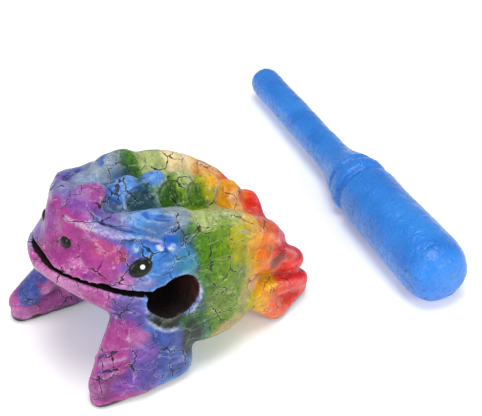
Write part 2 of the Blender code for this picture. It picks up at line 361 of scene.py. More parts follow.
# 1 within the triangle of one facet, and the distance from its front edge.
def facetShare(points, facet):
    across = np.abs(points[:, 0])
    down = np.clip((across - facet["from"]) / (facet["to"] - facet["from"]), 0, 1)
    front = facet["tip"] + (facet["front"] - facet["tip"]) * down
    rear = facet["tip"] + (facet["rear"] - facet["tip"]) * down
    within = np.clip(np.minimum(points[:, 1] - front, rear - points[:, 1]) / facetEdges["soft"], 0, 1)
    low = np.clip((facetEdges["across"] - across) / facetEdges["acrossSoft"], 0, 1)
    low = low * (points[:, 2] > facetEdges["above"])
    keptOff = facetEdges["keepOff"] * (low < facetEdges["clear"])
    keptOff = keptOff + facetEdges["keepOff"] * (down < facetEdges["start"])
    return within * low, np.abs(points[:, 1] - front) + keptOff


# How far each point sinks along its normal, in millimetres.
def carve(points):
    sink = np.zeros(len(points))
    for width, depth, line in carvedLines:
        for route in bothSides(line):
            gap, along = lineDistance(points, route)
            fade = np.clip(np.minimum(along, 1 - along) / frogShape["lineFade"], 0, 1)
            sink += depth * fade * np.exp(-(gap / width) ** 2)
    for facet in toothFacets:
        sink += facet["depth"] * facetShare(points, facet)[0]
    return sink + summedNoise(points, frogShape["lumps"])


# 0 at the hole and 1 from the middle of the mouth to the snout.
def aheadShare(points):
    return np.clip((hole["y"] - hole["radius"] - points[:, 1]) / mouth["fade"], 0, 1)


# How far in each point lies from the edge of the lower lip, seen from above.
def inFromLip(points, above):
    across = points[:, 0]
    along = points[:, 1] - mouth["middle"]
    reach = np.hypot(across, along)
    limits = np.linspace(-mouth["lipTurn"], mouth["lipTurn"], mouth["lipSectors"])
    sector = np.digitize(np.arctan2(across, -along), limits)
    low, high = mouth["lipBand"]
    lip = (above < high) & (above > low)
    edge = np.zeros(mouth["lipSectors"] + 1)
    np.maximum.at(edge, sector[lip], reach[lip])
    edge = np.convolve(edge, np.ones(mouth["lipMean"]) / mouth["lipMean"], "same")
    return edge[sector] - reach


# 1 on the walls of the hole and the mouth slot, 0 on the outer skin.
def insideShare(points):
    fromAxis = np.hypot(points[:, 1] - hole["y"], points[:, 2] - hole["z"])
    inHole = np.clip((hole["radius"] + hole["darkRim"] - fromAxis) / hole["darkSoft"], 0, 1)
    above = points[:, 2] - mouthLevel(points)
    inSlot = np.clip((mouth["slot"] / 2 + mouth["darkRim"] - np.abs(above)) / mouth["darkSoft"], 0, 1)
    inSlot = inSlot * (points[:, 1] < hole["y"])
    ahead = aheadShare(points)
    behindLip = (inFromLip(points, above) - mouth["lip"] * ahead) / mouth["lipSoft"]
    behindLip = np.clip(behindLip + mouth["cornerDark"] * (1 - ahead) ** 3, 0, 1)
    return np.maximum(inHole, np.where(above < mouth["floorBelow"], inSlot * behindLip, inSlot))


# The lips close in on the mouth slot towards the snout.
def closeMouth(points):
    above = points[:, 2] - mouthLevel(points)
    half = mouth["slot"] / 2
    shut = half * (1 - frogShape["mouthShare"])
    near = np.minimum(np.abs(above) / half, 1)
    near = near * np.clip(1 - (np.abs(above) - half) / mouth["closeReach"], 0, 1)
    points[:, 2] -= np.sign(above) * shut * near * aheadShare(points)


# The cheek hangs over the rim of the hole in front and above.
def hangOver(points):
    back = points[:, 1] - hole["y"]
    up = points[:, 2] - hole["z"]
    fromAxis = np.maximum(np.hypot(back, up), hole["nearest"])
    wayBack, wayUp = hole["lipWay"]
    facing = np.clip((wayUp * up + wayBack * back) / fromAxis, 0, 1) ** hole["lipFocus"]
    near = eased(np.clip(1 - np.abs(fromAxis - hole["radius"]) / hole["lipReach"], 0, 1))
    near = near * np.clip((np.abs(points[:, 0]) - hole["cheek"]) / hole["cheekSoft"], 0, 1)
    push = hole["lip"] * facing * near / fromAxis
    points[:, 1] -= back * push
    points[:, 2] -= up * push


# The mean of each point's neighbours.
def neighbourMean(values, edges, count):
    total = np.zeros_like(values)
    np.add.at(total, edges[:, 0], values[edges[:, 1]])
    np.add.at(total, edges[:, 1], values[edges[:, 0]])
    return total / count[:, None]


# How far each point stands out of its smoothed surroundings, in millimetres.
def bulge(data, points, normals, rounds):
    edges = np.empty(len(data.edges) * 2, int)
    data.edges.foreach_get("vertices", edges)
    edges = edges.reshape(-1, 2)
    count = np.maximum(np.bincount(edges.ravel(), minlength=len(points)), 1)
    smooth = points.copy()
    for step in range(rounds):
        smooth = neighbourMean(smooth, edges, count)
    return ((points - smooth) * normals).sum(axis=1)


def storeFloat(data, name, values):
    values = np.asarray(values, np.float32)
    data.attributes.new(name, "FLOAT", "POINT").data.foreach_set("value", values)


def storeColour(data, name, values):
    full = np.concatenate([values, np.ones((len(values), 1))], axis=1).astype(np.float32)
    data.attributes.new(name, "FLOAT_COLOR", "POINT").data.foreach_set("color", full.ravel())


def makeFrogMesh():
    frog = fineCopy("frog", "frog_body", frogShape)
    origin = np.array(frogOrigin)
    points = (readPoints(frog.data) - origin) * 1000
    inside = insideShare(points)
    raised = np.clip(points[:, 2] / frogShape["flatBelow"], 0, 1)
    points -= readNormals(frog.data) * (carve(points) * (1 - inside) * raised)[:, None]
    closeMouth(points)
    hangOver(points)
    low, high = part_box("frog_body")
    points = np.clip(points, (np.array(low) - origin) * 1000, (np.array(high) - origin) * 1000)
    writePoints(frog.data, points / 1000 + origin)
    return frog, points, inside


# Paint of the frog

palette = {
    "magenta": "a83c8c", "hotPink": "b84680", "pink": "b668a4", "plum": "86387c", "orchid": "943c8c",
    "legBlue": "46589a", "purple": "7c4ea8", "violet": "544898", "lavender": "7c7cb8", "blue": "3878c6",
    "sky": "5a98d8", "strongBlue": "1f62c4", "deepBlue": "34489a", "slateBlue": "54709e", "slate": "8496a4",
    "greyBlue": "98aac0", "teal": "2a5860", "sea": "3f8a9c", "darkGreen": "2e6408", "green": "4c8008",
    "grass": "6c9408", "olive": "76883a", "paleGreen": "b6c47a", "lime": "aaa400", "yellow": "e0b24c",
    "peach": "ecb468", "gold": "e8a000", "yolk": "ffb400", "orange": "e87006", "coral": "ee5420",
    "red": "ec281a", "brick": "8a2c18", "tan": "b4985c", "salmon": "dca090", "cream": "eed8a0",
    # The near-black that opens the next line is for painted shade.
    "paintedShade": "1a2618", "pale": "c8c6d2", "white": "e8e8ec",
}

# Bands from snout to rump: where each colour is at its fullest, in millimetres along the frog.
bands = [
    (-60, "magenta"), (-40, "magenta"), (-34, "purple"), (-27, "blue"), (-15, "blue"), (-10, "teal"),
    (-5, "green"), (4, "grass"), (8, "grass"), (13, "lime"), (18, "gold"), (23, "orange"),
    (29, "coral"), (36, "red"), (60, "red"),
]

# Brushed patches over the bands: middle, half sizes along x, y and z, colour, strength.
patches = [
    ((6, -46, 60), (16, 9, 10), "magenta", 0.8),
    ((19, -38, 57), (8, 8, 9), "magenta", 0.9),
    ((19, -42, 52), (4, 4, 4), "orchid", 1.0),
    ((21, -38, 52), (4, 4, 5), "magenta", 1.0),
    ((19, -37, 63), (5, 5, 4), "hotPink", 0.9),
    ((23.5, -34, 61), (4, 4, 4), "hotPink", 0.8),
    ((25, -31.5, 52), (5, 6, 4), "pink", 0.8),
    ((25, -32.2, 60.4), (2, 2, 2), "brick", 0.6),
    ((4, -49, 68), (5, 5, 5), "pink", 0.7),
    ((-3, -50, 66), (6, 8, 9), "purple", 0.5),
    ((-12, -50, 56), (8, 9, 12), "lavender", 0.7),
    ((11, -52, 47), (14, 8, 6), "pink", 0.9),
    ((23, -41, 43), (7, 7, 5), "magenta", 0.6),
    ((27, -34, 42), (6, 6, 5), "violet", 0.8),
    ((29.5, -28, 50), (4, 5, 3.5), "lavender", 0.8),
    ((26, -29, 57), (4, 4, 5), "purple", 0.6),
    ((27, -33.5, 36), (7, 7, 6), "violet", 0.8),
    ((30, -16, 57), (5, 8, 6), "blue", 0.9),
    ((31, -12, 54), (4, 5, 5), "sea", 0.7),
    ((24, -17, 66), (6, 8, 4), "slateBlue", 0.7),
    ((28, -17, 62.5), (3, 4, 2.5), "strongBlue", 1.0),
    ((0, -38, 74), (6, 7, 6), "purple", 0.7),
    ((-9, -37, 72), (8, 8, 6), "lavender", 0.9),
    ((-18, -32, 69), (9, 9, 8), "violet", 0.6),
    ((3, -32, 72), (6, 6, 5), "orchid", 1.0),
    ((5, -38, 72), (5, 5, 4), "purple", 0.5),
    ((16, -31, 70), (7, 8, 5), "lavender", 0.9),
    ((11, -29, 68), (4, 5, 4), "purple", 0.6),
    ((12, -22, 67), (6, 6, 4), "greyBlue", 0.7),
    ((17, -20, 69), (7, 7, 4), "sky", 0.7),
    ((19, -9, 67), (8, 7, 5), "slate", 0.8),
    ((-12, -26, 68), (8, 8, 6), "greyBlue", 0.8),
    ((-20, -18, 68), (9, 9, 10), "slate", 0.9),
    ((-24, -26, 66), (6, 9, 8), "lavender", 0.6),
    ((-18, -9, 67), (6, 5, 5), "darkGreen", 0.6),
    ((0, -19, 73), (6.5, 5.5, 4.5), "blue", 1.0),
    ((0, -7, 71), (6, 5.5, 5), "blue", 1.0),
    ((4, 4, 66), (3.5, 3, 4), "olive", 0.7),
    ((0, 6, 66), (5, 5, 5), "paleGreen", 0.5),
    ((2, 18, 57), (6, 6, 7), "gold", 0.9),
    ((6, 14, 55), (4, 4, 4), "lime", 0.9),
    ((1, 25.5, 53), (4, 2.6, 4), "gold", 0.9),
    ((0, 30, 49), (6, 3.5, 5), "orange", 0.9),
    ((0, 37, 45), (8, 6, 8), "red", 0.9),
    ((20, 0, 63), (9, 9, 5), "paleGreen", 0.95),
    ((24, 4, 62), (5, 5, 4), "olive", 0.5),
    ((23, 12, 58), (6, 6, 5), "paleGreen", 0.7),
    ((12, 14, 53), (6, 6, 6), "paleGreen", 0.7),
    ((9, 22, 50), (6, 6, 6), "peach", 0.9),
    ((25, 17, 54), (4, 5, 5), "yellow", 0.8),
    ((5, 31, 43), (3.5, 4, 4.5), "red", 0.9),
    ((14, 36, 38), (7, 6, 8), "red", 0.9),
    ((27, 20, 50), (3, 3, 3), "peach", 0.5),
    ((-18, 3, 62), (10, 10, 9), "paleGreen", 0.95),
    ((-19, 13, 57), (10, 8, 10), "cream", 0.95),
    ((-19, 25, 49), (9, 7, 10), "peach", 0.9),
    ((30, -2, 53), (5, 6, 7), "green", 0.9),
    ((29, 11, 49), (6, 7, 9), "lime", 1.0),
    ((30, 3, 50), (5, 5, 6), "grass", 0.9),
    ((32, 8, 40), (5, 5, 6), "olive", 0.5),
    ((27, 18, 46), (4, 4, 6), "gold", 0.8),
    ((27, 23.8, 39), (6, 5, 8), "orange", 1.0),
    ((24, 33, 34), (6, 6, 7), "red", 0.8),
    ((26, 30.6, 30.4), (4.5, 4.5, 3.8), "brick", 1.0),
    ((22.5, 37, 20), (5, 6, 4), "red", 1.0),
    ((24, 40, 12), (7, 8, 6), "red", 0.8),
    ((28, 26, 10), (5, 5, 7), "coral", 0.8),
    ((34, 0, 32), (6, 8, 8), "olive", 0.6),
    ((33, 4, 16), (7, 8, 6), "tan", 0.8),
    ((29, 17, 29), (4, 4, 4), "salmon", 0.5),
    ((31, 11, 27), (4, 5, 6), "tan", 0.6),
    ((25.5, 25.5, 22.6), (5, 5, 4), "yolk", 1.0),
    ((34, -24, 25), (5, 7, 5), "deepBlue", 0.9),
    ((35, -20, 13), (6, 8, 9), "legBlue", 1.0),
    ((34, -22, 20), (5, 7, 6), "deepBlue", 0.7),
    ((34, -30, 16), (4, 6, 6), "violet", 0.8),
    # The near-black patches in this group are painted shade, in the pocket under the rim of the hole and
    # between the front leg and the belly.
    ((33.5, -19, 32.5), (6, 8, 4), "paintedShade", 1.0),
    ((31, -24.5, 34.5), (5, 4, 4), "paintedShade", 0.9),
    ((34, -17, 20), (5, 5, 8), "legBlue", 0.9),
    ((34, -12, 28), (5.5, 5.5, 6), "darkGreen", 0.9),
    ((33.5, -12.5, 20), (5.5, 5, 10), "paintedShade", 0.95),
    ((28, -37, 29), (6, 7, 6), "magenta", 0.9),
    ((30, -32, 27), (4, 5, 4), "pink", 0.8),
    ((32, -31, 20), (5, 6, 5), "purple", 0.8),
    ((27, -45, 14), (7, 8, 10), "magenta", 0.9),
    ((30, -46, 10), (5, 7, 7), "plum", 1.0),
    ((28, -46, 18), (4, 5, 4), "orchid", 0.8),
    ((34, -33, 12), (5, 8, 7), "violet", 0.9),
    ((33, -40, 10), (4, 6, 5), "purple", 0.7),
    ((-20, -44, 10), (7, 9, 11), "pink", 0.9),
    ((-25, -52, 15), (6, 6, 8), "deepBlue", 1.0),
    ((-26, -47, 22), (6, 5, 5), "deepBlue", 0.9),
    ((-25, -55, 4), (8, 8, 5), "pink", 1.0),
    ((-22, -42, 7), (6, 8, 6), "orchid", 0.7),
    ((-30, -24, 20), (9, 9, 14), "deepBlue", 0.5),
]

# Strokes of a finer brush: half width, colour, strength and route. The pale and salmon strokes along ridges,
# lips and edges are partly worn paint and partly painted highlight, and the white ones are painted
# highlights.
strokes = [
    (1.1, "deepBlue", 0.9, [(11, -37, 70.3), (15.4, -34.0, 69.5), (18.7, -29.7, 68.2), (22.0, -25.3, 66.5)]),
    (1.1, "strongBlue", 0.8, [(15.5, -20.2, 68.3), (19.4, -18.9, 68.7), (22.1, -15.8, 68.7),
                               (24, -11.8, 67.7)]),
    (0.9, "deepBlue", 0.7, [(23, -32, 65.5), (24.2, -28, 65.4), (26, -23.6, 64.4), (28.5, -19, 62)]),
    (0.8, "pale", 0.5, [(2, -45.9, 72), (6.8, -43.8, 70), (13.4, -40.4, 69.5), (18, -37.2, 68.8)]),
    (0.7, "pale", 0.4, [(18, -37.2, 68.8), (21.2, -33.8, 67.6), (24.2, -27, 66),
                         (27.2, -20.4, 64.6), (31, -16, 62)]),
    (0.55, "deepBlue", 0.9, [(23.9, -45.6, 18.9), (27.6, -42.9, 22.5), (29.7, -39.2, 23.7)]),
    (0.55, "deepBlue", 0.9, [(27.9, -47.8, 15.4), (30.7, -42.2, 17.3), (31.6, -38, 17.4),
                             (32.4, -34.1, 17.5)]),
    (0.7, "pale", 0.4, [(26.2, -46.8, 17.2), (29.3, -42.6, 19.9), (30.8, -37, 20.5)]),
    (0.6, "pale", 0.4, [(28.6, -48, 13.4), (31.6, -42, 15.4), (33, -35, 15.6)]),
    (0.8, "pale", 0.65, [(29.9, -28.3, 33.2), (32.7, -25.2, 30.6), (34.3, -22.2, 29.0), (34.6, -17.5, 27.6)]),
    (0.9, "pale", 0.6, [(-5, -56.8, 50), (4, -55.6, 47), (13, -51.8, 44.5), (20, -46, 42), (25, -40, 38)]),
    # Painted highlights on the bulges over the eye and on two tooth edges.
    (0.8, "white", 0.8, [(25.2, -28.2, 62.9), (26.2, -27.2, 62.6)]),
    (0.8, "white", 0.8, [(27.9, -21.1, 62.7), (29.2, -19.4, 61.3)]),
    (0.7, "white", 0.8, [(29.3, -17.8, 61.0), (29.9, -15, 61.4)]),
    (0.8, "white", 0.8, [(4.6, -29.4, 72.0), (6.0, -30.0, 70.6), (7.4, -30.8, 68.8)]),
    (0.7, "white", 0.7, [(5.4, -10.8, 66.4), (5.9, -12.1, 64.2)]),
    (0.9, "darkGreen", 0.8, [(9, -10, 61), (9.4, -3, 59.5), (8.4, 2.6, 58.1), (8.2, 6.7, 56.4),
                              (7.2, 13, 53.8)]),
    (1.0, "teal", 0.7, [(9, -24, 66), (9, -17.6, 65), (9, -11, 62)]),
    (0.7, "salmon", 0.4, [(26.1, 20.3, 50.6), (26.1, 27.4, 44.2), (22.8, 36.4, 32.0), (21.3, 43.6, 23.6)]),
    (0.6, "salmon", 0.3, [(28.3, 19, 23.9), (26, 31.2, 18.9), (22.5, 45.8, 11.4)]),
    (0.8, "pale", 0.5, [(31, 2, 59.5), (29.5, 9, 56.5), (27.9, 16, 53)]),
    # A painted highlight along the rump ridge.
    (0.7, "white", 0.5, [(9, 33, 41.5), (11, 39, 36), (13, 44, 30)]),
    (0.7, "pale", 0.6, [(-34, -47, 22), (-33, -53, 12), (-31, -58, 6)]),
    (1.2, "deepBlue", 0.85, [(33.9, -9, 44), (34.3, -8.4, 40.5), (34.3, -9.4, 36.5),
                              (34.1, -12, 33.7), (33.7, -16, 32.6)]),
    # A painted highlight beside the dark blue line on the rear rim of the hole.
    (0.5, "white", 0.6, [(34.0, -8.4, 44), (34.3, -7.8, 40.5), (34.3, -9.0, 36.0),
                          (34.1, -11.6, 33.2), (33.8, -15, 32)]),
]

# Long splits of the paint, as routes over the skin.
splits = [
    [(14, 19, 54.5), (23, 16.2, 57.1), (27.1, 15.1, 55.0), (28.5, 17, 51.5), (28.2, 20, 48)],
    [(24.6, 1.5, 62.9), (23.4, 7.0, 61.6), (24.4, 14.7, 57.5)],
    [(31.4, 11, 41.1), (32.9, 7.9, 38.9), (33.3, 7.3, 35.4)],
    [(34.1, -0.4, 43.1), (33.8, 3.0, 40.8)],
    [(18.4, -37.2, 68), (17.8, -38.7, 65.1), (18.5, -38.9, 62.3), (20.5, -36.9, 62.4), (23.2, -34.6, 61.6)],
    [(23, -32.4, 64.7), (23.4, -34, 61.3), (23.9, -35.4, 56.6)],
    [(29.8, -25.1, 57.6), (30.7, -26.6, 54.4), (30.8, -26.2, 49.3)],
    [(25, -38.7, 45.8), (24.6, -38, 39.4), (23.6, -36.8, 33.7)],
    [(8.4, 2.6, 58.1), (8.2, 6.7, 56.3), (7.5, 11.4, 54.4), (7, 15.3, 52.7)],
    [(15.2, -8.5, 65.3), (15, -6.1, 63.2), (17, -3, 63)],
    [(10.5, -46.6, 63.5), (9.8, -48.5, 60), (14.8, -46, 57), (18, -43.5, 54.5), (20, -41, 56)],
    [(24.5, -37.5, 33), (28.6, -33.5, 28), (31, -31, 23)],
    [(34.4, -19, 21), (34.8, -24, 18.5), (33.6, -29, 15)],
    [(10, 24, 50), (18, 28, 46), (22, 33, 40)],
]

# How ragged and how soft the bands, patches, facets, strokes and splits come out.
brushwork = {
    "wander": [{"size": 11, "height": 2.2, "seed": 3}, {"size": 4, "height": 1.2, "seed": 4}],
    "lean": 0.06,
    "leanLevel": 45,
    "ragged": [{"size": 3.0, "height": 0.18, "seed": 5}, {"size": 7, "height": 0.12, "seed": 6}],
    "patchEdge": 1.15,
    "patchSoft": 0.5,
    "facetGain": 1.6,
    "facetRagged": 0.6,
    "facetCover": 0.95,
    "facetLine": 0.6,
    "facetLineCover": 0.22,
    "strokeShake": {"size": 1.6, "height": 0.55, "seed": 20},
    "strokeFade": 0.10,
    "strokeEdge": 1.5,
    "patchy": {"size": 2.2, "height": 0.9, "seed": 24},
    "patchyMean": 0.75,
    "splitShakes": [{"size": 2.8, "height": 1.2, "seed": 30}, {"size": 1.3, "height": 0.35, "seed": 40}],
}


# Points shaken a little, so that lines measured from them come out ragged.
def shaken(points, shake):
    seeds = range(shake["seed"], shake["seed"] + 3)
    shakes = [shake["height"] * smoothNoise(points, shake["size"], seed) for seed in seeds]
    return points + np.stack(shakes, axis=1)


def brushOver(result, share, name):
    share = share[:, None]
    return result * (1 - share) + np.array(linear(palette[name])) * share


# The brushed colour of each point, before splits and wear.
def paintColours(points):
    along = points[:, 1] + summedNoise(points, brushwork["wander"])
    along = along + brushwork["lean"] * (points[:, 2] - brushwork["leanLevel"])
    places = [place for place, name in bands]
    colours = np.array([linear(palette[name]) for place, name in bands])
    result = np.stack([np.interp(along, places, colours[:, part]) for part in range(3)], axis=1)
    ragged = summedNoise(points, brushwork["ragged"])
    for middle, sizes, name, strength in patches:
        reach = np.sqrt((((points - np.array(middle)) / np.array(sizes)) ** 2).sum(axis=1)) + ragged
        share = np.clip((brushwork["patchEdge"] - reach) / brushwork["patchSoft"], 0, 1)
        result = brushOver(result, eased(share) * strength, name)
    for facet in toothFacets:
        share, fromEdge = facetShare(points, facet)
        worn = share * brushwork["facetGain"] + ragged * brushwork["facetRagged"]
        share = np.clip(worn, 0, 1) * (share > 0)
        result = brushOver(result, share * brushwork["facetCover"], facet["colour"])
        # A pale line along each facet's front edge: partly worn paint and partly painted highlight.
        line = np.clip(1 - fromEdge / brushwork["facetLine"], 0, 1)
        result = brushOver(result, line * brushwork["facetLineCover"], "pale")
    rough = shaken(points, brushwork["strokeShake"])
    patchy = np.clip(brushwork["patchyMean"] + summedNoise(points, [brushwork["patchy"]]), 0, 1)
    for width, name, strength, line in strokes:
        for route in bothSides(line):
            gap, way = lineDistance(rough, route)
            fade = np.clip(np.minimum(way, 1 - way) / brushwork["strokeFade"], 0, 1)
            share = np.clip(brushwork["strokeEdge"] - gap / width, 0, 1) * fade
            if name in ("pale", "white"):
                share = share * patchy
            result = brushOver(result, share * strength, name)
    return result


# Distance to the nearest split, in millimetres.
def splitDistance(points):
    rough = points
    for shake in brushwork["splitShakes"]:
        rough = shaken(rough, shake)
    routes = [route for line in splits for route in bothSides(line)]
    return np.min([lineDistance(rough, route)[0] for route in routes], axis=0)


# Shorthand for building a material's node tree. Inputs are other nodes' outputs or plain values.
class Nodes:
    def __init__(self, name):
        self.material = bpy.data.materials.new(name)
        self.material.use_nodes = True
        self.tree = self.material.node_tree
        self.shader = self.tree.nodes["Principled BSDF"]

    def add(self, kind, links=None, **settings):
        node = self.tree.nodes.new("ShaderNode" + kind)
        for key, value in settings.items():
            setattr(node, key, value)
        for key, value in (links or {}).items():
            self.put(node.inputs[key], value)
        return node

    def put(self, socket, value):
        if isinstance(value, bpy.types.NodeSocket):
            self.tree.links.new(value, socket)
        elif isinstance(value, (list, tuple)) and len(value) == 3 and socket.type == "RGBA":
            socket.default_value = (*value, 1)
        else:
            socket.default_value = value

    def math(self, operation, first, second):
        return self.add("Math", {0: first, 1: second}, operation=operation).outputs[0]

    def vector(self, operation, first, second):
        return self.add("VectorMath", {0: first, 1: second}, operation=operation).outputs[0]

    # Maps low..high to start..end and no further.
    def spread(self, value, low, high, start=0.0, end=1.0):
        return self.add("MapRange", {0: value, 1: low, 2: high, 3: start, 4: end}).outputs[0]

    def mix(self, share, first, second, blend="MIX"):
        node = self.add("Mix", data_type="RGBA", blend_type=blend)
        self.put(node.inputs[0], share)
        self.put(node.inputs[6], first)
        self.put(node.inputs[7], second)
        return node.outputs[2]

    def noise(self, where, scale, detail=2.0, roughness=0.5):
        settings = {"Vector": where, "Scale": scale, "Detail": detail, "Roughness": roughness}
        return self.add("TexNoise", settings).outputs[0]

    def attribute(self, name):
        return self.add("Attribute", attribute_name=name).outputs["Fac"]

    def attributeColour(self, name):
        return self.add("Attribute", attribute_name=name).outputs["Color"]

    def place(self):
        return self.add("TexCoord").outputs["Object"]

    def bump(self, height, strength, depth):
        node = self.add("Bump", {"Height": height, "Strength": strength, "Distance": depth})
        self.put(self.shader.inputs["Normal"], node.outputs[0])


# Sizes of the cells in metres. width is a share of a cell, and breaks is where the noise opens a crack.
crackle = {
    "large": {"cell": 0.0084, "width": 0.027, "breaks": 0.44},
    "fine": {"cell": 0.0042, "width": 0.036, "breaks": 0.60},
    "breakRange": (-0.05, 0.20),
    "breakScale": 0.9,
    "bend": {"scale": 1.5, "detail": 4.0, "roughness": 0.60, "reach": 0.62},
    "split": 0.17,
    "splitRange": (0.07, -0.09),
}


# How far inside a split of the paint: the borders of irregular cells, broken up here and there.
def crackLines(nodes, where, kind):
    cell = kind["cell"]
    bend = crackle["bend"]
    settings = {"Vector": where, "Scale": bend["scale"] / cell, "Detail": bend["detail"],
                "Roughness": bend["roughness"]}
    bent = nodes.add("TexNoise", settings).outputs["Color"]
    offset = nodes.vector("SUBTRACT", bent, (0.5, 0.5, 0.5))
    links = {0: offset, "Scale": cell * bend["reach"]}
    scaled = nodes.add("VectorMath", links, operation="SCALE").outputs[0]
    moved = nodes.vector("ADD", where, scaled)
    links = {"Vector": moved, "Scale": 1 / cell}
    cells = nodes.add("TexVoronoi", links, feature="DISTANCE_TO_EDGE")
    strong = nodes.noise(where, crackle["breakScale"] / cell)
    low, high = [kind["breaks"] + step for step in crackle["breakRange"]]
    wide = nodes.spread(strong, low, high, 0, kind["width"])
    return nodes.math("SUBTRACT", wide, cells.outputs["Distance"])


# Where the lit rear wall of the hole begins, along the frame's own Y.
holeRear = frogOrigin.y + (hole["y"] + hole["radius"] * hole["rearShare"]) / 1000

# Each range says from where to where its noise or attribute is read, and what the ends stand for.
frogLook = {
    "edgeScale": 700,
    "mottle": (260, 4.0, 0.6),
    "grain": (850, 5.0, 0.7),
    "streak": (520, 4.0, 0.65),
    "streakStretch": (1.0, 0.28, 1.0),
    "deepTint": (0.38, 0.36, 0.42),
    "lighter": 0.60,
    "whiter": 0.12,
    "nearWhite": (0.90, 0.88, 0.92),
    "gritColour": (0.012, 0.040, 0.010),
    "crackColour": (0.012, 0.008, 0.014),
    "crackCover": 0.93,
    "darkWood": (0.006, 0.004, 0.005),
    "wood": (0.022, 0.012, 0.012),
    "litWood": (0.060, 0.018, 0.014),
    "sole": (0.012, 0.012, 0.014),
    "insideRoughness": 0.75,
    "mottleRelief": 0.28,
    "grainRelief": 0.25,
    "specular": 0.15,
    "coat": 0.16,
    "coatRoughness": 0.08,
    "bump": 0.6,
    "bumpDepth": 0.00035,
    "ranges": {
        "ragged": (0.3, 0.7, -0.12, 0.12),
        "inside": (0.42, 0.58),
        "mottled": (0.40, 0.60, 0.45, 0),
        "shadedHollows": (-0.55, -0.06, 0.65, 0),
        "pits": (0.47, 0.33, 0, 0.65),
        "brushed": (0.56, 0.74, 0, 0.50),
        "worn": (0.14, 0.60, 0, 0.70),
        "wornBreaks": (0.42, 0.58, 0.25, 1),
        "darkGrit": (0.47, 0.36, 0, 0.60),
        "lightGrit": (0.58, 0.70, 0, 0.40),
        "largeCracks": (-0.004, 0.004),
        "fineCracks": (-0.006, 0.010, 0, 0.8),
        "besideCracks": (-0.045, -0.015),
        "besideSplits": (0.95, 0.45),
        "besideBreaks": (0.44, 0.60, 0, 0.75),
        "wood": (0.4, 0.7),
        "litWood": (0.35, 0.6, 0.2, 0.9),
        "gloss": (0.3, 0.7, 0.26, 0.42),
    },
}


def frogPaint():
    look = frogLook
    nodes = Nodes("crackled_paint")
    where = nodes.place()
    stand = nodes.attribute("stand")
    grit = nodes.attribute("grit")
    split = nodes.attribute("split")

    def ranged(value, name):
        return nodes.spread(value, *look["ranges"][name])

    def times(first, second):
        return nodes.math("MULTIPLY", first, second)

    edge = nodes.noise(where, look["edgeScale"])
    inside = nodes.math("ADD", nodes.attribute("inside"), ranged(edge, "ragged"))
    inside = ranged(inside, "inside")

    mottle = nodes.noise(where, *look["mottle"])
    grain = nodes.noise(where, *look["grain"])
    stretched = nodes.vector("MULTIPLY", where, look["streakStretch"])
    streak = nodes.noise(stretched, *look["streak"])
    colour = nodes.attributeColour("paint")
    deep = nodes.mix(1.0, colour, look["deepTint"], "MULTIPLY")
    light = nodes.add("Gamma", {"Color": colour, "Gamma": look["lighter"]}).outputs[0]
    light = nodes.mix(look["whiter"], light, look["nearWhite"])
    colour = nodes.mix(ranged(mottle, "mottled"), colour, deep)
    # Sunken places are darkened: painted shade in the hollows.
    colour = nodes.mix(ranged(stand, "shadedHollows"), colour, deep)
    colour = nodes.mix(ranged(grain, "pits"), colour, deep)
    colour = nodes.mix(ranged(streak, "brushed"), colour, light)
    # Raised ridges turn lighter: partly worn paint and partly painted highlight.
    worn = times(ranged(stand, "worn"), ranged(grain, "wornBreaks"))
    colour = nodes.mix(worn, colour, light)
    colour = nodes.mix(times(grit, ranged(grain, "darkGrit")), colour, look["gritColour"])
    colour = nodes.mix(times(grit, ranged(grain, "lightGrit")), colour, light)

    large = crackLines(nodes, where, crackle["large"])
    fine = crackLines(nodes, where, crackle["fine"])
    shortSplits = nodes.math("MAXIMUM", ranged(large, "largeCracks"), ranged(fine, "fineCracks"))
    longSplits = nodes.spread(split, *[crackle["split"] + step for step in crackle["splitRange"]])
    cracks = nodes.math("MAXIMUM", shortSplits, longSplits)
    cracks = times(cracks, nodes.math("SUBTRACT", 1.0, inside))
    beside = nodes.math("MAXIMUM", ranged(large, "besideCracks"), ranged(split, "besideSplits"))
    beside = times(beside, ranged(streak, "besideBreaks"))
    colour = nodes.mix(beside, colour, light)
    colour = nodes.mix(times(cracks, look["crackCover"]), colour, look["crackColour"])

    axes = nodes.add("SeparateXYZ", {0: where})
    rear = nodes.spread(axes.outputs[1], holeRear - hole["rearFade"], holeRear)
    wood = nodes.mix(ranged(grain, "wood"), look["darkWood"], look["wood"])
    wood = nodes.mix(times(rear, ranged(mottle, "litWood")), wood, look["litWood"])
    colour = nodes.mix(inside, colour, wood)
    colour = nodes.mix(nodes.attribute("sole"), colour, look["sole"])

    shader = nodes.shader
    nodes.put(shader.inputs["Base Color"], colour)
    dull = times(inside, look["insideRoughness"])
    nodes.put(shader.inputs["Roughness"], nodes.math("MAXIMUM", ranged(mottle, "gloss"), dull))
    shader.inputs["Specular IOR Level"].default_value = look["specular"]
    shader.inputs["Coat Weight"].default_value = look["coat"]
    shader.inputs["Coat Roughness"].default_value = look["coatRoughness"]
    height = nodes.math("SUBTRACT", times(mottle, look["mottleRelief"]), cracks)
    height = nodes.math("ADD", height, times(grain, look["grainRelief"]))
    nodes.bump(height, look["bump"], look["bumpDepth"])
    return nodes.material


gritGreen = {"red": 0.9, "blue": 0.6, "soft": 0.06}
blackSole = {"level": 3.0, "soft": 0.6, "waves": [{"size": 5, "height": 2.2, "seed": 50}]}


# Grit shows where the paint is green.
def gritShare(colours):
    red, green, blue = colours.T
    excess = green - gritGreen["red"] * red - gritGreen["blue"] * blue
    return np.clip(excess / gritGreen["soft"], 0, 1)


def soleShare(points):
    level = blackSole["level"] + summedNoise(points, blackSole["waves"])
    return np.clip((level - points[:, 2]) / blackSole["soft"], 0, 1)


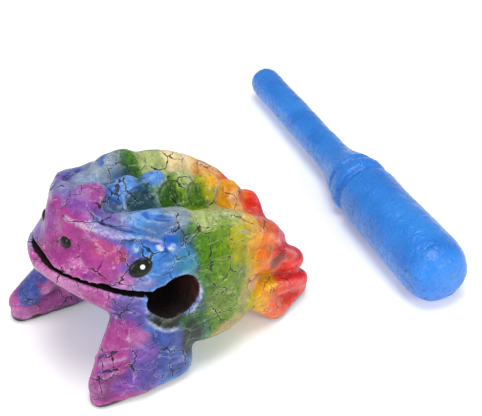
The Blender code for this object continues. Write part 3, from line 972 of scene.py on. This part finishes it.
def makeFrog():
    frog, points, inside = makeFrogMesh()
    data = frog.data
    colours = paintColours(points)
    storeFloat(data, "stand", bulge(data, points, readNormals(data), frogShape["bulgeRounds"]))
    storeFloat(data, "inside", inside)
    storeFloat(data, "sole", soleShare(points))
    storeFloat(data, "split", splitDistance(points))
    storeFloat(data, "grit", gritShare(colours))
    storeColour(data, "paint", colours)
    data.materials.append(frogPaint())
    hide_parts("frog_body")
    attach(frog, "root")
    return frog, points


# Eyes and nostrils: flat domes of thick paint, in the frog's own millimetres.
domes = [
    {"name": "eye", "at": (29.6, -28.2, 57.0), "wide": 4.4, "tall": 3.0, "thick": 1.1, "out": 0.25,
     "way": (0.36, 0.77, 0.53), "dot": (0.20, 0.05)},
    {"name": "nostril", "at": (8.9, -46.1, 62.0), "wide": 2.5, "tall": 2.3, "thick": 1.3, "out": 0.1,
     "way": (0.8, 0.5, 0.0), "dot": None},
]

domeShape = {"segments": 40, "rings": 20, "sunk": 0.35, "reach": 0.8, "nearest": 0.5}

domeLook = {
    "grain": (2.2, 3.0),
    "grainRange": (0.35, 0.7),
    "black": (0.004, 0.006, 0.004),
    "worn": (0.018, 0.022, 0.014),
    "dotSquash": 0.7,
    "dotRange": (0.15, 0.22, 1, 0),
    "dotColour": (0.86, 0.87, 0.82),
    "gloss": (0.3, 0.7, 0.2, 0.35),
    "specular": 0.15,
    "coat": 0.15,
    "bump": 0.2,
    "bumpDepth": 0.0002,
}


def blackPaint(name, dot):
    look = domeLook
    nodes = Nodes(name)
    where = nodes.place()
    grain = nodes.noise(where, *look["grain"])
    colour = nodes.mix(nodes.spread(grain, *look["grainRange"]), look["black"], look["worn"])
    if dot:
        parts = nodes.add("SeparateXYZ", {0: where})
        across = nodes.math("SUBTRACT", parts.outputs[0], dot[0])
        up = nodes.math("SUBTRACT", parts.outputs[1], dot[1])
        up = nodes.math("MULTIPLY", up, look["dotSquash"])
        squares = [nodes.math("MULTIPLY", value, value) for value in (across, up)]
        away = nodes.math("POWER", nodes.math("ADD", *squares), 0.5)
        colour = nodes.mix(nodes.spread(away, *look["dotRange"]), colour, look["dotColour"])
    nodes.put(nodes.shader.inputs["Base Color"], colour)
    nodes.put(nodes.shader.inputs["Roughness"], nodes.spread(grain, *look["gloss"]))
    nodes.shader.inputs["Specular IOR Level"].default_value = look["specular"]
    nodes.shader.inputs["Coat Weight"].default_value = look["coat"]
    nodes.bump(grain, look["bump"], look["bumpDepth"])
    return nodes.material


# The skin's mean place and normal round a spot.
def surfaceAt(points, normals, spot, reach):
    gap = np.linalg.norm(points - np.array(spot), axis=1)
    close = gap < max(reach, gap.min() + domeShape["nearest"])
    normal = normals[close].mean(axis=0)
    return points[close].mean(axis=0), normal / np.linalg.norm(normal)


def makeDome(dome, side, label, material, points, normals):
    name = dome["name"] + "_" + label
    flip = np.array((side, 1, 1))
    spot, normal = surfaceAt(points, normals, flip * dome["at"], dome["wide"] * domeShape["reach"])
    out = Vector(normal)
    along = Vector(flip * dome["way"])
    along = (along - out * along.dot(out)).normalized()
    up = out.cross(along).normalized()
    mesh = bmesh.new()
    segments, rings = domeShape["segments"], domeShape["rings"]
    bmesh.ops.create_uvsphere(mesh, u_segments=segments, v_segments=rings, radius=1)
    piece = addObject(name, meshFrom(name, mesh))
    piece.data.shade_smooth()
    piece.data.materials.append(material)
    turn = Matrix((along, up, out)).transposed().to_4x4()
    sizes = (dome["wide"] / 1000, dome["tall"] / 1000, dome["thick"] / 1000, 1)
    centre = fromFrog(*(spot + normal * (dome["out"] - dome["thick"] * domeShape["sunk"])))
    piece.matrix_world = Matrix.Translation(centre) @ turn @ Matrix.Diagonal(sizes)
    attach(piece, "root")


def makeDomes(frog, points):
    normals = readNormals(frog.data)
    for dome in domes:
        material = blackPaint(dome["name"] + "_paint", dome["dot"])
        for side, label in ((1, "left"), (-1, "right")):
            makeDome(dome, side, label, material, points, normals)


# Stick

# Its profile runs from the tip of the handle to the end of the head: place along the stick and radius.
# chipWay says how much a surface towards -Y and one towards -Z are chipped.
stickShape = {
    "tip": (-0.08883, 0.08552, 0.0100),
    "end": (0.08889, 0.05737, 0.01466),
    "rings": 330,
    "segments": 88,
    "rounding": 3,
    "seam": 0.000005,
    "profile": [
        (0, 0), (0.1, 3.0), (0.7, 5.6), (2.2, 7.1), (5, 7.6), (20, 7.6), (50, 7.7), (80, 7.8), (86, 8.2),
        (92, 9.5), (97, 11.2), (100, 12.2), (101.0, 12.2), (101.9, 11.0), (102.7, 11.1), (103.5, 12.9),
        (105, 13.5), (108, 13.5), (109.4, 13.1), (110.4, 11.3), (111.5, 11.0), (112.3, 12.5),
        (114, 13.3), (120, 13.4), (160, 14.0), (167, 13.9), (172, 13.2), (176, 11.6), (178.4, 9.0),
        (179.5, 5.5), (179.9, 2.5), (179.9, 0),
    ],
    "ripples": [
        {"size": 14.0, "height": 0.30, "seed": 11},
        {"size": 4.0, "height": 0.22, "seed": 12},
        {"size": 1.8, "height": 0.12, "seed": 13},
    ],
    "chipWay": (0.7, 0.5),
    "chipFrom": 0.35,
    "chipSoft": 0.4,
}

stickLook = {
    "wave": (60, 2.0, 0.5),
    "waveRange": (0.35, 0.65),
    "grain": (620, 3.0, 0.55),
    "grainRange": (0.60, 0.78, 0, 0.25),
    "chipNoise": (480, 4.0, 0.7),
    "chipRange": (0.58, 0.64),
    "deepBlue": (0.004, 0.165, 0.640),
    "blue": (0.016, 0.230, 0.760),
    "paleBlue": (0.14, 0.40, 0.84),
    "bare": (0.030, 0.060, 0.120),
    "gloss": (0.3, 0.7, 0.24, 0.36),
    "specular": 0.5,
    "coat": 0.15,
    "coatRoughness": 0.15,
    "brushStretch": (1.0, 0.35, 0.35),
    "brushNoise": (420, 3.0, 0.6),
    "chipDepth": 0.6,
    "bump": 0.8,
    "bumpDepth": 0.0008,
}


def stickPaint():
    look = stickLook
    nodes = Nodes("blue_paint")
    where = nodes.place()
    wave = nodes.noise(where, *look["wave"])
    grain = nodes.noise(where, *look["grain"])
    colour = nodes.mix(nodes.spread(wave, *look["waveRange"]), look["deepBlue"], look["blue"])
    colour = nodes.mix(nodes.spread(grain, *look["grainRange"]), colour, look["paleBlue"])
    broken = nodes.spread(nodes.noise(where, *look["chipNoise"]), *look["chipRange"])
    bare = nodes.math("MULTIPLY", nodes.attribute("chip"), broken)
    colour = nodes.mix(bare, colour, look["bare"])
    nodes.put(nodes.shader.inputs["Base Color"], colour)
    nodes.put(nodes.shader.inputs["Roughness"], nodes.spread(grain, *look["gloss"]))
    nodes.shader.inputs["Specular IOR Level"].default_value = look["specular"]
    nodes.shader.inputs["Coat Weight"].default_value = look["coat"]
    nodes.shader.inputs["Coat Roughness"].default_value = look["coatRoughness"]
    brushed = nodes.vector("MULTIPLY", where, look["brushStretch"])
    relief = nodes.math("ADD", grain, nodes.noise(brushed, *look["brushNoise"]))
    height = nodes.math("SUBTRACT", relief, nodes.math("MULTIPLY", bare, look["chipDepth"]))
    nodes.bump(height, look["bump"], look["bumpDepth"])
    return nodes.material


# The profile turned about the line from the tip to the end.
def turnedStick():
    profile = np.array(stickShape["profile"], float)
    travelled = np.concatenate([[0], np.cumsum(np.linalg.norm(np.diff(profile, axis=0), axis=1))])
    steps = np.linspace(0, travelled[-1], stickShape["rings"])
    rows = np.stack([np.interp(steps, travelled, profile[:, part]) for part in range(2)], axis=1)
    for smoothing in range(stickShape["rounding"]):
        rows[1:-1] = (rows[:-2] + 2 * rows[1:-1] + rows[2:]) / 4
    start = Vector(stickShape["tip"])
    axis = (Vector(stickShape["end"]) - start).normalized()
    turn = Matrix.Translation(start) @ axis.to_track_quat("Z", "Y").to_matrix().to_4x4()
    mesh = bmesh.new()
    chain = [mesh.verts.new(turn @ Vector((radius, 0, height))) for height, radius in rows / 1000]
    edges = [mesh.edges.new(pair) for pair in zip(chain[:-1], chain[1:])]
    bmesh.ops.spin(mesh, geom=chain + edges, cent=start, axis=axis, angle=2 * np.pi,
                   steps=stickShape["segments"], use_merge=True)
    bmesh.ops.remove_doubles(mesh, verts=mesh.verts, dist=stickShape["seam"])
    bmesh.ops.recalc_face_normals(mesh, faces=mesh.faces)
    return addObject("stick", meshFrom("stick", mesh))


def makeStick():
    stick = turnedStick()
    points = readPoints(stick.data) * 1000
    normals = readNormals(stick.data)
    lift = summedNoise(points, stickShape["ripples"])
    low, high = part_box("striker_stick")
    points = np.clip(points + normals * lift[:, None], np.array(low) * 1000, np.array(high) * 1000)
    writePoints(stick.data, points / 1000)
    wayY, wayZ = stickShape["chipWay"]
    underside = -normals[:, 1] * wayY - normals[:, 2] * wayZ
    chip = (underside - stickShape["chipFrom"]) / stickShape["chipSoft"]
    storeFloat(stick.data, "chip", np.clip(chip, 0, 1))
    stick.data.materials.append(stickPaint())
    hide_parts("striker_stick")
    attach(stick, "root")
    return stick


def triangles(thing):
    return sum(len(face.vertices) - 2 for face in thing.data.polygons)


makeCamera()
makeLamps()
makeWorld()
makeFloor()
print("camera and light are set")

frog, frogPoints = makeFrog()
print("frog:", triangles(frog), "triangles")

makeDomes(frog, frogPoints)
print("eyes and nostrils are on")

stick = makeStick()
print("stick:", triangles(stick), "triangles")
